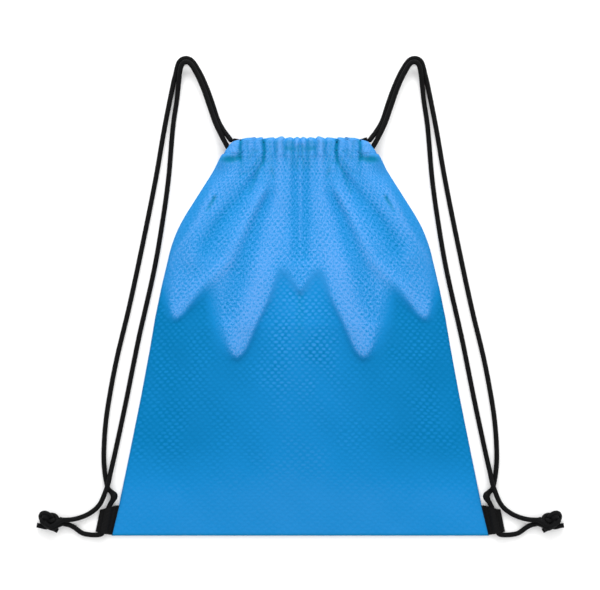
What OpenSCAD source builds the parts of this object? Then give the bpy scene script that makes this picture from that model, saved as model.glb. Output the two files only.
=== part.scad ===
// Drawstring backpack lying on its back, drawcords laid out at its sides.
// X runs to the wearer's right, Y towards the mouth, Z up off the surface.
// The origin is under the middle of the bag, on the surface.

/* [Bag] */
// Width of the sewn bottom edge
bag_w = 380; // [320:1:460]
// Height of the bag, from the bottom edge to the gathered top edge
bag_h = 400; // [340:1:480]
// Width of the gathered mouth at the lower edge of its hems
mouth_w = 147; // [120:1:190]
// Thickness that stands in for one layer of fabric
fabric_t = 1.0; // [0.6:0.1:1.4]
// How far the sides lean in for each millimetre of height, below the shoulders
side_lean = 0.205; // [0.15:0.005:0.22]
// Distance from the mouth's top edge down to where the shoulders begin
shoulder_drop = 126; // [90:1:150]
// Length over which the sides turn into the shoulders
shoulder_turn = 46; // [20:1:60]

/* [Filling] */
// Height of the front panel's crest above the side seams
crest_rise = 36; // [10:1:60]
// Place of the crest along Y
crest_y = 12; // [-60:1:60]
// Height of the front panel at the mouth above the side seams
mouth_rise = 14; // [12:1:20]
// Depth of the flutes that run down from the gathers
flute_depth = 2.4; // [0:0.1:5]
// Number of flutes across the front panel
flute_count = 9; // [5:2:15]

/* [Hems] */
// Length of each hem from its stitched line to its top edge
hem_l = 15.5; // [13:0.5:24]
// Gap between the front and back hems where the mouth stands open
mouth_gap = 6.4; // [5:0.2:12]
// Length at each end of the hems where the two channels open into each other
corner_l = 27; // [20:1:40]
// How far each hem's top corner is cut back along the mouth, where the cords come out
corner_cut_w = 7; // [4:0.5:10]
// How far each hem's top corner is cut back along the bag
corner_cut_l = 9; // [6:0.5:11]

/* [Seams] */
// Height of the folded seam allowance between the panels
seam_t = 2.2; // [1.4:0.1:3]
// Width of the seam allowance
seam_w = 8; // [5:0.5:12]
// Length of one stitch
stitch_l = 3.2; // [2:0.2:5]
// Distance between stitches
stitch_pitch = 4.6; // [3:0.2:8]
// Thickness of the sewing thread
thread_d = 0.5; // [0.3:0.1:0.8]

/* [Corner tabs] */
// Width of the webbing, measured along the side seam
tab_l = 30; // [20:1:40]
// How far the folded webbing stands out of the side seam
tab_out = 17.5; // [14:0.5:24]
// Length of webbing sewn inside the seam
tab_tongue = 6; // [3:0.5:8]
// How much the lower end of the tab's fold is cut back from the bag's bottom edge
tab_cut_low = 4.2; // [0:0.2:6]
// How much the upper end of the tab's fold is cut back from the top of its sewn edge
tab_cut_high = 6.4; // [0:0.2:8]
// Thickness of one layer of webbing
webbing_t = 1.0; // [0.8:0.1:1.4]
// Distance from the side seam to the middle of the cord's tunnel
tunnel_out = 9; // [7:0.5:12]

/* [Cord] */
// Diameter of the round braided cord
cord_d = 5; // [4:0.5:6]
// Clearance between a cord and the channel or tunnel that it runs in
cord_play = 0.3; // [0.1:0.1:0.6]
// Length of the knot that joins the two ends of a cord
knot_l = 24; // [18:1:32]
// Width of the knot
knot_w = 17; // [14:1:24]
// Height of the knot
knot_h = 16; // [12:1:20]

/* [Hidden] */

fabric_blue = [0.10, 0.50, 0.88];
thread_blue = [0.08, 0.42, 0.78];
cord_black = [0.05, 0.05, 0.06];
webbing_black = [0.10, 0.10, 0.10];

// Ends of the bag, its panels and its hems along Y
top_y = bag_h / 2;
bottom_y = -top_y;
hem_y = top_y - hem_l;
shoulder_y = top_y - shoulder_drop;
shoulder_end_y = shoulder_y + shoulder_turn;

// Lean of the shoulders that brings the sides in to the gathered mouth
shoulder_lean = (bag_w / 2 - mouth_w / 2 - side_lean * (shoulder_y - bottom_y) - side_lean * shoulder_turn / 2)
    / (shoulder_turn / 2 + hem_y - shoulder_end_y);

// Half the bag's width at a place along Y
function half_w(y) =
    let (at_shoulder = bag_w / 2 - side_lean * (shoulder_y - bottom_y))
    y <= shoulder_y ? bag_w / 2 - side_lean * (y - bottom_y)
    : y <= shoulder_end_y
        ? at_shoulder - side_lean * (y - shoulder_y)
            - (shoulder_lean - side_lean) * pow(y - shoulder_y, 2) / (2 * shoulder_turn)
        : at_shoulder - (side_lean + shoulder_lean) * shoulder_turn / 2 - shoulder_lean * (y - shoulder_end_y);

// Panel layers
seam_z = fabric_t;
front_z = seam_z + seam_t;

function ease(t) = t <= 0 ? 0 : t >= 1 ? 1 : t * t * (3 - 2 * t);

// Height of the front panel's middle above its rim, at a place along Y
function rise(y) =
    y <= crest_y
        ? crest_rise * sin(90 * (y - bottom_y) / (crest_y - bottom_y))
        : crest_rise + (mouth_rise - crest_rise) * ease((y - crest_y) / (hem_y - crest_y));

// How square the panel's section is: a round arch low down, and flat-topped at the mouth
function arch_power(y) = 2.2 + 4.5 * ease((y - crest_y) / (hem_y - crest_y));

// Depth of the flutes at a place, deepest between the crest and the mouth
function flute(s, y) =
    flute_depth * ease((y - crest_y) / 60) * (1 - ease((y - hem_y + 40) / 40))
        * (1 + cos(180 * flute_count * s)) / 2 * (1 - pow(abs(s), 4));

// Inner face of the front panel: s runs from -1 to 1 across the bag
function front_inner_z(s, y) =
    front_z + max(0, rise(y) * (1 - pow(abs(s), arch_power(y))) - flute(s, y));

// Grid lines of the front panel
grid_across = 36;
grid_along = 26;
function grid_s(i) = sin(90 * (2 * i / grid_across - 1));
function grid_y(j) = bottom_y + (hem_y - bottom_y) * j / grid_along;

// Closed shell between an inner and an outer grid of points
module front_shell() {
    cols = grid_across + 1;
    rows = grid_along + 1;
    count = cols * rows;
    inner = [for (j = [0:grid_along], i = [0:grid_across])
        [half_w(grid_y(j)) * grid_s(i), grid_y(j), front_inner_z(grid_s(i), grid_y(j))]];
    outer = [for (p = inner) p + [0, 0, fabric_t]];
    rim = concat(
        [for (i = [0:grid_across - 1]) i],
        [for (j = [0:grid_along - 1]) j * cols + grid_across],
        [for (i = [grid_across:-1:1]) grid_along * cols + i],
        [for (j = [grid_along:-1:1]) j * cols]);
    faces = concat(
        [for (j = [0:grid_along - 1], i = [0:grid_across - 1], k = [0, 1])
            let (a = j * cols + i)
            k == 0 ? [a, a + 1, a + cols + 1] : [a, a + cols + 1, a + cols]],
        [for (j = [0:grid_along - 1], i = [0:grid_across - 1], k = [0, 1])
            let (a = count + j * cols + i)
            k == 0 ? [a, a + cols + 1, a + 1] : [a, a + cols, a + cols + 1]],
        [for (n = [0:len(rim) - 1], k = [0, 1])
            let (a = rim[n], b = rim[(n + 1) % len(rim)])
            k == 0 ? [a, a + count, b + count] : [a, b + count, b]]);
    polyhedron(concat(inner, outer), faces, convexity = 6);
}

// Outline of the bag between two places along Y, set in from its sides by inset
outline_steps = 8;
function outline_ys(y0, y1) = concat(
    [y0],
    [for (n = [0:outline_steps])
        let (y = shoulder_y + shoulder_turn * n / outline_steps)
        if (y > y0 && y < y1) y],
    [y1]);

module outline(y0, y1, inset = 0) {
    ys = outline_ys(y0, y1);
    polygon(concat(
        [for (y = ys) [half_w(y) - inset, y]],
        [for (n = [len(ys) - 1:-1:0]) [-half_w(ys[n]) + inset, ys[n]]]));
}

// Hems: a channel for two cords side by side, front and back
channel_t = cord_d + 2 * cord_play;
hem_t = channel_t + 2 * fabric_t;
front_hem_z = hem_t + mouth_gap;
lane_low_y = hem_y + fabric_t + cord_play + cord_d / 2;
lane_high_y = top_y - fabric_t - cord_play - cord_d / 2;
back_lane_z = hem_t / 2;
front_lane_z = front_hem_z + hem_t / 2;
hem_end_x = mouth_w / 2;

module hem(z, open_side) {
    difference() {
        translate([0, 0, z])
            linear_extrude(hem_t)
                polygon([[-hem_end_x, hem_y], [hem_end_x, hem_y], [hem_end_x, top_y - corner_cut_l],
                         [hem_end_x - corner_cut_w, top_y], [corner_cut_w - hem_end_x, top_y],
                         [-hem_end_x, top_y - corner_cut_l]]);
        translate([-bag_w / 2, hem_y + fabric_t, z + fabric_t])
            cube([bag_w, hem_l - 2 * fabric_t, channel_t]);
        for (side = [-1, 1])
            translate([side * (hem_end_x - corner_l + bag_w / 4), top_y - fabric_t + cord_play,
                       z + hem_t / 2 + open_side * hem_t / 2])
                cube([bag_w / 2, 2 * (hem_l - 2 * fabric_t), hem_t], center = true);
    }
}

module stitch_row(z) {
    count = floor((mouth_w - 2 * corner_l) / stitch_pitch);
    for (n = [0:count - 1])
        translate([(n - (count - 1) / 2) * stitch_pitch - stitch_l / 2, hem_y + fabric_t / 2 - thread_d / 2, z])
            cube([stitch_l, thread_d, thread_d]);
}

// Side seam allowance: follows the side from above the tab to below the hem
seam_end_y = hem_y - 14;
tab_top_y = bottom_y + tab_l;
module side_seam(side) {
    ys = outline_ys(tab_top_y + cord_play, seam_end_y);
    translate([0, 0, seam_z])
        linear_extrude(seam_t)
            polygon(concat(
                [for (y = ys) [side * half_w(y), y]],
                [for (n = [len(ys) - 1:-1:0]) [side * (half_w(ys[n]) - seam_w), ys[n]]]));
}

// Corner tab: webbing folded round the cord, its two layers sewn into the seam
tab_z = seam_z + (seam_t - 2 * webbing_t) / 2;
tunnel_z = tab_z + webbing_t + cord_play / 2 + cord_d / 2;
tab_lean = atan(side_lean);
tab_mid_y = bottom_y + tab_l / 2;

// Places a section drawn as [distance out of the seam, height] along the side seam
module on_tab(side, length) {
    mirror([side < 0 ? 1 : 0, 0, 0])
        translate([half_w(tab_mid_y), tab_mid_y, 0])
            rotate([90, 0, tab_lean])
                translate([0, 0, -length / 2])
                    linear_extrude(length)
                        children();
}

module tab_section() {
    flat_top = tab_z + 2 * webbing_t;
    hump_in = cord_d + 2 * cord_play;
    hump_top = tab_z + webbing_t + hump_in;
    hump_w = 1.7;
    foot_w = 6.6;
    difference() {
        polygon([[-tab_tongue, tab_z], [tab_out - 1, tab_z], [tab_out, tab_z + webbing_t],
                 [tab_out - 0.6, flat_top], [tunnel_out + hump_w + 1, hump_top + webbing_t],
                 [tunnel_out - hump_w - 1, hump_top + webbing_t], [2, flat_top], [-tab_tongue, flat_top]]);
        polygon([[tunnel_out - foot_w, tab_z + webbing_t], [tunnel_out + foot_w, tab_z + webbing_t],
                 [tunnel_out + hump_w, hump_top], [tunnel_out - hump_w, hump_top]]);
    }
}

module corner_tab(side) {
    seam_x = half_w(tab_mid_y);
    fold_x = seam_x + tab_out + tab_tongue;
    intersection() {
        on_tab(side, tab_l * 1.1) tab_section();
        mirror([side < 0 ? 1 : 0, 0, 0])
            linear_extrude(3 * hem_t)
                polygon([[seam_x - 2 * tab_tongue, bottom_y], [seam_x + tab_tongue / 2, bottom_y],
                         [fold_x, bottom_y + tab_cut_low], [fold_x, tab_top_y - tab_cut_high],
                         [seam_x, tab_top_y], [seam_x - 2 * tab_tongue, tab_top_y]]);
    }
}

module bar_tack(side) {
    on_tab(side, tab_l - 6)
        translate([0.3, tab_z + 2 * webbing_t])
            square([1.4, thread_d]);
}

// Smooth curve through hand-chosen points: each stretch is cut into steps
function spline_point(p0, p1, p2, p3, t) =
    0.5 * (2 * p1 + (p2 - p0) * t + (2 * p0 - 5 * p1 + 4 * p2 - p3) * t * t
        + (3 * p1 - p0 - 3 * p2 + p3) * t * t * t);
function smooth_route(points, steps) =
    let (last = len(points) - 1)
    concat(
        [for (i = [0:last - 1], k = [0:steps - 1])
            spline_point(
                i == 0 ? 2 * points[0] - points[1] : points[i - 1],
                points[i], points[i + 1],
                i + 2 > last ? 2 * points[last] - points[last - 1] : points[i + 2],
                k / steps)],
        [points[last]]);

function unit(v) = v / norm(v);
function mirrored(points, side) = [for (p = points) [side * p[0], p[1], p[2]]];

// Tube swept along a route; a round end adds a half ball beyond the route's end
cord_sides = 10;
ball_angles = [72, 48, 24];
module cord_tube(route, round_start = false, round_end = false, up = [0, 0, 1]) {
    r = cord_d / 2;
    last = len(route) - 1;
    t0 = unit(route[1] - route[0]);
    t1 = unit(route[last] - route[last - 1]);
    rings = concat(
        round_start ? [for (a = ball_angles) [route[0] - t0 * r * sin(a), t0, r * cos(a)]] : [],
        [for (i = [0:last]) [route[i], unit(route[min(i + 1, last)] - route[max(i - 1, 0)]), r]],
        round_end ? [for (n = [2:-1:0]) let (a = ball_angles[n])
            [route[last] + t1 * r * sin(a), t1, r * cos(a)]] : []);
    n = len(rings);
    m = cord_sides;
    points = [for (ring = rings, k = [0:m - 1])
        let (side = unit(cross(ring[1], up)), over = cross(side, ring[1]))
        ring[0] + ring[2] * (cos(360 * k / m) * side + sin(360 * k / m) * over)];
    faces = concat(
        [[for (k = [m - 1:-1:0]) k]],
        [for (i = [0:n - 2], k = [0:m - 1], half = [0, 1])
            let (a = i * m + k, b = i * m + (k + 1) % m)
            half == 0 ? [a, b, b + m] : [a, b + m, a + m]],
        [[for (k = [0:m - 1]) (n - 1) * m + k]]);
    polyhedron(points, [for (f = faces) [for (i = [len(f) - 1:-1:0]) f[i]]], convexity = 8);
}

// Mouth corner and tab that the points below were chosen for. On a bag of another
// size the points near the mouth go with its corner, and those low down with its tab.
chosen_corner = [73.5, 200];
chosen_tab = [186.925, -200];
corner_shift = [mouth_w / 2 - chosen_corner[0], top_y - chosen_corner[1], 0];
tab_shift = [half_w(tab_mid_y) - chosen_tab[0], bottom_y - chosen_tab[1], 0];
function settled(points) = [
    for (p = points)
        let (up = max(0, min(1, (p[1] - chosen_tab[1] - 50) / (chosen_corner[1] - chosen_tab[1] - 50))))
        p + up * corner_shift + (1 - up) * tab_shift];

// Free strands, as drawn for the right side; the left side mirrors them
cord_z = cord_d / 2 + 0.1;
strap_outer_points = [
    [70.2, 199.1, 10.8], [77, 208.2, 6.4], [83.2, 219.2, 3], [88.8, 236, cord_z], [93.8, 250, cord_z],
    [99.6, 263.5, cord_z], [104.2, 272, cord_z], [108.1, 277.9, cord_z], [111.6, 281.1, cord_z],
    [115.8, 282.2, cord_z], [119.9, 281, cord_z], [122.9, 277.8, cord_z], [124.9, 271.5, cord_z],
    [126.6, 264, cord_z], [129, 254, cord_z], [137.5, 211, cord_z], [146.5, 159, cord_z],
    [159.2, 95.5, cord_z], [172.9, 31.5, cord_z], [185.5, -21, cord_z], [193.6, -63.5, cord_z],
    [197.3, -91, cord_z], [198.8, -118, cord_z], [198, -135, cord_z], [195.8, -148.5, cord_z]];
strap_inner_points = [
    [72.9, 191.35, 10.68], [79.4, 203.2, 10.2], [85.7, 216.4, 9], [91.4, 232.5, 7.8],
    [96.8, 248.3, 7.7], [101.8, 260.4, 8], [106, 268.6, 8.2], [109.3, 274.2, 8.3], [112, 277.1, 8.3],
    [115, 278.2, 8.3], [118, 277.1, 8.2], [120.2, 273.9, 7.9], [121.6, 268.2, 7], [122.8, 259, 5.1],
    [124.9, 240, 2.85], [129, 211, cord_z], [133.5, 159, cord_z], [140.6, 109, cord_z],
    [148.6, 64.5, cord_z], [162.2, 4.5, cord_z], [167.8, -22.5, cord_z], [176, -63.5, cord_z],
    [181.8, -91, cord_z], [187.6, -118, 3.2], [191.6, -136, 5.6], [194, -147.6, 7.8]];
tab_cord_points = [
    [188, -160.5, 7], [189.6, -164.6, 6.4], [192.2, -169, 5.2], [194.3, -174, tunnel_z],
    [196.4, -184.5, tunnel_z], [198.9, -197, tunnel_z]];
tail_upper_points = [
    [197.6, -158.2, 8.2], [199.8, -163.5, 7.4], [203, -169.3, 5.8], [208.5, -175, 4],
    [217.5, -180.5, 3.2], [229, -184, 5.2], [239, -184.5, 8], [243.2, -183.6, 9]];
tail_lower_points = [
    [200.5, -200.6, 4.7], [206.5, -200.1, 3.8], [213, -199.8, cord_z], [219.5, -198.6, cord_z],
    [224, -196, cord_z], [228.8, -192.4, 2.7], [233.5, -190, 3.2], [238.5, -188.8, 3.9],
    [243.2, -187.6, 4.8]];

module strap_outer(side) {
    cord_tube(mirrored(smooth_route(settled(strap_outer_points), 2), side), round_start = true);
}

module strap_inner(side) {
    cord_tube(mirrored(smooth_route(settled(strap_inner_points), 2), side), round_start = true);
}

module tab_cord(side) {
    cord_tube(mirrored(smooth_route(settled(tab_cord_points), 2), side));
}

module tail_upper(side) {
    cord_tube(mirrored(smooth_route(settled(tail_upper_points), 2), side), round_start = true);
}

module tail_lower(side) {
    cord_tube(mirrored(smooth_route(settled(tail_lower_points), 2), side), round_start = true);
}

// Stretch of each cord inside the hems: in by one channel, round at the far
// corner and back by the other. The two cords take opposite lanes.
turn_x = hem_end_x - corner_l;
exit_back = 3.4;
function channel_route(front_y, back_y, front_exit, back_exit) =
    let (front = [-turn_x - 2, front_y, front_lane_z],
         back = [-turn_x - 2, back_y, back_lane_z],
         far_front = [turn_x, front_y, front_lane_z],
         far_back = [turn_x, back_y, back_lane_z],
         mid = (far_front + far_back) / 2,
         reach = norm(far_front - far_back) / 2)
    concat(
        [front_exit + exit_back * unit([7, -2, 4]), front + [-7, 0, -0.6], front, front + [12, 0, 0],
         (front + far_front) / 2, far_front - [12, 0, 0]],
        [for (n = [0:6])
            let (a = 180 * n / 6)
            mid + (far_front - mid) * cos(a) + [reach, 0, 0] * sin(a)],
        [far_back - [12, 0, 0], (back + far_back) / 2, back + [12, 0, 0],
         back, back + [-7, 0, 0.6], back_exit + exit_back * unit([7, 1, -4])]);

left_exit_high = mirrored(settled(strap_outer_points), -1)[0];
left_exit_low = mirrored(settled(strap_inner_points), -1)[0];

module left_channel_route_tube() {
    cord_tube(smooth_route(channel_route(lane_high_y, lane_low_y, left_exit_high, left_exit_low), 2),
              up = [0, 0.9, -0.43]);
}

module right_channel_route_tube() {
    route = channel_route(lane_low_y, lane_high_y, left_exit_low, left_exit_high);
    cord_tube(mirrored(smooth_route(route, 2), -1), up = [0, 0.9, 0.43]);
}

// Knot: a lumpy closed form with the two trimmed ends standing out of it
knot_at = [255.5, -184.8, knot_h / 2 + 0.4];
knot_turn = 35;
knot_across = 20;
knot_along = 10;
function knot_point(lon, lat) =
    let (lump = 1 + 0.06 * sin(3 * lon + 2 * lat) * cos(lat))
    [knot_l / 2 * cos(lat) * cos(lon), knot_w / 2 * cos(lat) * sin(lon), knot_h / 2 * sin(lat)] * lump;

module knot_body() {
    m = knot_across;
    rings = [for (j = [1:knot_along - 1]) -90 + 180 * j / knot_along];
    n = len(rings);
    points = concat(
        [for (lat = rings, k = [0:m - 1]) knot_point(360 * k / m, lat)],
        [knot_point(0, -90), knot_point(0, 90)]);
    faces = concat(
        [for (j = [0:n - 2], k = [0:m - 1], half = [0, 1])
            let (a = j * m + k, b = j * m + (k + 1) % m)
            half == 0 ? [a, b + m, b] : [a, a + m, b + m]],
        [for (k = [0:m - 1]) [n * m, k, (k + 1) % m]],
        [for (k = [0:m - 1]) [n * m + 1, (n - 1) * m + (k + 1) % m, (n - 1) * m + k]]);
    polyhedron(points, faces, convexity = 4);
}

// Trimmed ends: the way each points round the knot, and how far it reaches from the middle
knot_ends = [[227, 14.5], [336, 11.5]];
module knot(side) {
    mirror([side < 0 ? 1 : 0, 0, 0])
        translate(knot_at + tab_shift) {
            rotate([0, 0, knot_turn]) knot_body();
            for (end = knot_ends)
                rotate([0, 0, end[0]])
                    translate([0, 0, cord_d / 2 - knot_h / 4])
                        rotate([0, 90, 0])
                            cylinder(h = end[1], d = cord_d, $fn = 32);
        }
}

module front_panel() {
    color(fabric_blue) front_shell();
}

module back_panel() {
    color(fabric_blue) linear_extrude(fabric_t) outline(bottom_y, hem_y);
}

module front_hem() {
    color(fabric_blue) hem(front_hem_z, -1);
}

module back_hem() {
    color(fabric_blue) hem(0, 1);
}

module front_hem_stitching() {
    color(thread_blue) stitch_row(front_hem_z + hem_t);
}

module back_hem_stitching() {
    color(thread_blue) stitch_row(hem_t);
}

module bottom_seam() {
    color(fabric_blue)
        translate([0, 0, seam_z])
            linear_extrude(seam_t)
                outline(bottom_y, bottom_y + seam_w, tab_tongue + cord_play);
}

front_panel();
back_panel();
front_hem();
back_hem();
front_hem_stitching();
back_hem_stitching();
color(fabric_blue) side_seam(-1);  // left_side_seam
color(fabric_blue) side_seam(1);  // right_side_seam
bottom_seam();
color(webbing_black) corner_tab(-1);  // left_corner_tab
color(webbing_black) corner_tab(1);  // right_corner_tab
color(cord_black) bar_tack(-1);  // left_bar_tack
color(cord_black) bar_tack(1);  // right_bar_tack
color(cord_black) left_channel_route_tube();  // left_channel_cord
color(cord_black) right_channel_route_tube();  // right_channel_cord
color(cord_black) tab_cord(-1);  // left_tab_cord
color(cord_black) tab_cord(1);  // right_tab_cord
color(cord_black) strap_outer(-1);  // left_strap_outer
color(cord_black) strap_inner(-1);  // left_strap_inner
color(cord_black) strap_outer(1);  // right_strap_outer
color(cord_black) strap_inner(1);  // right_strap_inner
color(cord_black) tail_upper(-1);  // left_tail_upper
color(cord_black) tail_lower(-1);  // left_tail_lower
color(cord_black) tail_upper(1);  // right_tail_upper
color(cord_black) tail_lower(1);  // right_tail_lower
color(cord_black) knot(-1);  // left_knot
color(cord_black) knot(1);  // right_knot
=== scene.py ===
"""Drawstring backpack: cloth, cords, knots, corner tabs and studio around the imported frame."""

import math

import bpy
import numpy as np
from mathutils import Matrix, Vector


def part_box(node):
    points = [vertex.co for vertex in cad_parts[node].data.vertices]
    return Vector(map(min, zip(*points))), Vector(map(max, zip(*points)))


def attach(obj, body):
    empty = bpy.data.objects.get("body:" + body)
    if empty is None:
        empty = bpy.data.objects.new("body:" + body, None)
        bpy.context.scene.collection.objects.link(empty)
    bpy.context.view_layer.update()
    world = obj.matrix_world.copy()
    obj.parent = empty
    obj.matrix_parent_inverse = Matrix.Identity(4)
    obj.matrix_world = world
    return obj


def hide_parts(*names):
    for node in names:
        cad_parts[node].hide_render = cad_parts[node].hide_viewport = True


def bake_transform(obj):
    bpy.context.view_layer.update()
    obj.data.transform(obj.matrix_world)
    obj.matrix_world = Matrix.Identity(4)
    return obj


bl_info = {
    "name": "Drawstring backpack",
    "version": (1, 0, 0),
    "blender": (4, 5, 0),
    "location": "View3D > Sidebar > Backpack",
    "description": "Builds the cloth, cords, knots and corner tabs of a drawstring backpack",
    "category": "Add Mesh",
}

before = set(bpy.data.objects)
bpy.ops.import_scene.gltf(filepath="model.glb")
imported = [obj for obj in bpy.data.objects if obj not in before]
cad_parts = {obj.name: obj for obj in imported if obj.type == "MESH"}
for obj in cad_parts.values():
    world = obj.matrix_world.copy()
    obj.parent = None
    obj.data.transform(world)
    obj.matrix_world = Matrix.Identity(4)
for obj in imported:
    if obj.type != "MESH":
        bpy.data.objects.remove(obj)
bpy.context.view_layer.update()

MM = 0.001

# The bag's outline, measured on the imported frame, in millimetres
back_low, back_high = [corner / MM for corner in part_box("back_panel")]
hem_low, hem_high = [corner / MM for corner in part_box("front_hem")]
back_hem_low, back_hem_high = [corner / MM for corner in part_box("back_hem")]
bottom_half = back_high.x
bottom_y = back_low.y
hem_y = hem_low.y
top_y = hem_high.y
mouth_half = hem_high.x
# Lower edge of both cloths
cloth_low = bottom_y - 0.8

# The sides lean in evenly, then turn towards the mouth at the shoulder
SIDE_LEAN = 0.205
SEAM_ANGLE = math.atan(SIDE_LEAN)
SHOULDER_DROP = 126.0
SHOULDER_TURN = 46.0
shoulder_y = top_y - SHOULDER_DROP
shoulder_end_y = shoulder_y + SHOULDER_TURN
shoulder_lean = (
    bottom_half - mouth_half - SIDE_LEAN * (shoulder_y - bottom_y) - SIDE_LEAN * SHOULDER_TURN / 2
) / (SHOULDER_TURN / 2 + hem_y - shoulder_end_y)


# ---------------- settings


def length_setting(name, description, default):
    """A length in metres."""
    return bpy.props.FloatProperty(name=name, description=description, default=default, unit="LENGTH")


def colour_setting(name, description, default):
    """A colour: red, green, blue and 1."""
    return bpy.props.FloatVectorProperty(
        name=name, description=description, subtype="COLOR", size=4, default=default)


class ClothSettings(bpy.types.PropertyGroup):
    """Sizes and colours of the bag's fabric."""

    thickness: length_setting("Thickness", "Thickness of the fabric", 0.0005)
    crest: length_setting("Crest", "Height of the filled front above its side seams", 0.034)
    weave_across: length_setting(
        "Weave across", "Distance across the cloth between two raised dobby cells", 0.0086)
    weave_along: length_setting(
        "Weave along", "Distance along the cloth between two rows of dobby cells", 0.00345)
    # The fabric's blue in painted light and shade: painted shade of the folds, the open panel, the lit
    # folds, the painted highlight on their ridges and the painted shadow in the creases
    deep_shade_colour: colour_setting(
        "Deep colour", "Colour of the slack cloth in the shade of the folds", (0.0008, 0.136, 0.325, 1))
    panel_colour: colour_setting(
        "Panel colour", "Colour of the slack lower panel", (0.0060, 0.181, 0.452, 1))
    # Painted light: the full folds where they face the key light
    lit_fold_colour: colour_setting(
        "Fold colour", "Colour of the full folds below the mouth", (0.0320, 0.224, 0.545, 1))
    # Painted highlight on the ridges of the folds
    ridge_highlight_colour: colour_setting(
        "Ridge colour", "Colour of the stretched ridges of the folds", (0.0950, 0.270, 0.600, 1))
    # Painted shadow deep in the creases and hollows
    crease_shadow_colour: colour_setting("Crease colour", "Colour deep in the creases", (0.0, 0.160, 0.300, 1))


class CordSettings(bpy.types.PropertyGroup):
    """Size and colour of the braided drawcord."""

    diameter: length_setting("Diameter", "Diameter of the round braided cord", 0.005)
    braid_pitch: length_setting(
        "Braid pitch", "Length in which a braided strand goes once round the cord", 0.0165)
    colour: colour_setting("Colour", "Colour of the cord's yarn", (0.0012, 0.0012, 0.0013, 1))


class TabSettings(bpy.types.PropertyGroup):
    """Sizes and colour of the webbing tabs at the bottom corners."""

    width: length_setting("Width", "Width of the webbing, measured along the side seam", 0.030)
    reach: length_setting("Reach", "How far the folded webbing stands out of the side seam", 0.0175)
    thickness: length_setting("Thickness", "Thickness of one layer of webbing", 0.001)
    colour: colour_setting("Colour", "Colour of the webbing", (0.0028, 0.0028, 0.0030, 1))


class StageSettings(bpy.types.PropertyGroup):
    """Camera height and light of the studio."""

    camera_height: length_setting("Camera height", "Height of the camera above the floor", 3.0)
    framed_width: length_setting("Framed width", "Width of the floor that the camera frames", 0.6076)
    key_power: bpy.props.FloatProperty(
        name="Key power", description="Power of the key light in watts", default=46.0)
    fill: bpy.props.FloatProperty(
        name="Fill", description="Strength of the white surroundings", default=1.14)


# ---------------- mesh helpers


def ease(t):
    """Smooth step from 0 to 1."""
    t = np.clip(t, 0.0, 1.0)
    return t * t * (3.0 - 2.0 * t)


def bell(t):
    """Bell curve: 1 at 0 and nearly 0 past 2 and -2."""
    return np.exp(-t ** 2)


def grid_corners(grid):
    """The four corners of each cell of a grid, in order round the cell."""
    corners = [grid[:-1, :-1], grid[:-1, 1:], grid[1:, 1:], grid[1:, :-1]]
    return np.stack(corners, axis=2).reshape(-1, 4, *grid.shape[2:])


def grid_faces(rows, columns, flipped=False):
    """Four-sided faces over rows and columns of points."""
    faces = grid_corners(np.arange(rows * columns).reshape(rows, columns))
    return (faces[:, ::-1] if flipped else faces).tolist()


def new_mesh_object(name, points, faces):
    """An object made of points in metres and faces, shaded smooth."""
    mesh = bpy.data.meshes.new(name)
    mesh.from_pydata([tuple(p) for p in points], [], faces)
    mesh.update()
    mesh.polygons.foreach_set("use_smooth", [True] * len(mesh.polygons))
    piece = bpy.data.objects.new(name, mesh)
    bpy.context.scene.collection.objects.link(piece)
    return piece


def set_uv(piece, uv):
    """Gives each corner of the mesh the UV of its point."""
    layer = piece.data.uv_layers.new(name="UVMap")
    corner_points = np.zeros(len(piece.data.loops), np.int32)
    piece.data.loops.foreach_get("vertex_index", corner_points)
    layer.data.foreach_set("uv", np.asarray(uv)[corner_points].ravel())


def set_drape(piece, tone, crease_shade, contrast):
    """Stores what the fabric's material reads at each point of the mesh: painted light and shade, and the
    weave's contrast.
    """
    for name, values in (("tone", tone), ("crease_shade", crease_shade), ("contrast", contrast)):
        attribute = piece.data.attributes.new(name, "FLOAT", "POINT")
        values = np.broadcast_to(np.ravel(values), len(piece.data.vertices))
        attribute.data.foreach_set("value", values.astype(np.float32))


def select_only(*pieces):
    """Deselects everything else and makes the first piece active."""
    bpy.ops.object.select_all(action="DESELECT")
    for piece in pieces:
        piece.select_set(True)
    bpy.context.view_layer.objects.active = pieces[0]


def add_wall(piece, thickness, offset):
    """Gives a sheet of faces its thickness."""
    wall = piece.modifiers.new("wall", "SOLIDIFY")
    wall.thickness = thickness
    wall.offset = offset
    select_only(piece)
    bpy.ops.object.modifier_apply(modifier=wall.name)


def give_material(piece, material):
    """Makes the material the piece's only one."""
    piece.data.materials.clear()
    piece.data.materials.append(material)


# ---------------- material helpers


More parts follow.
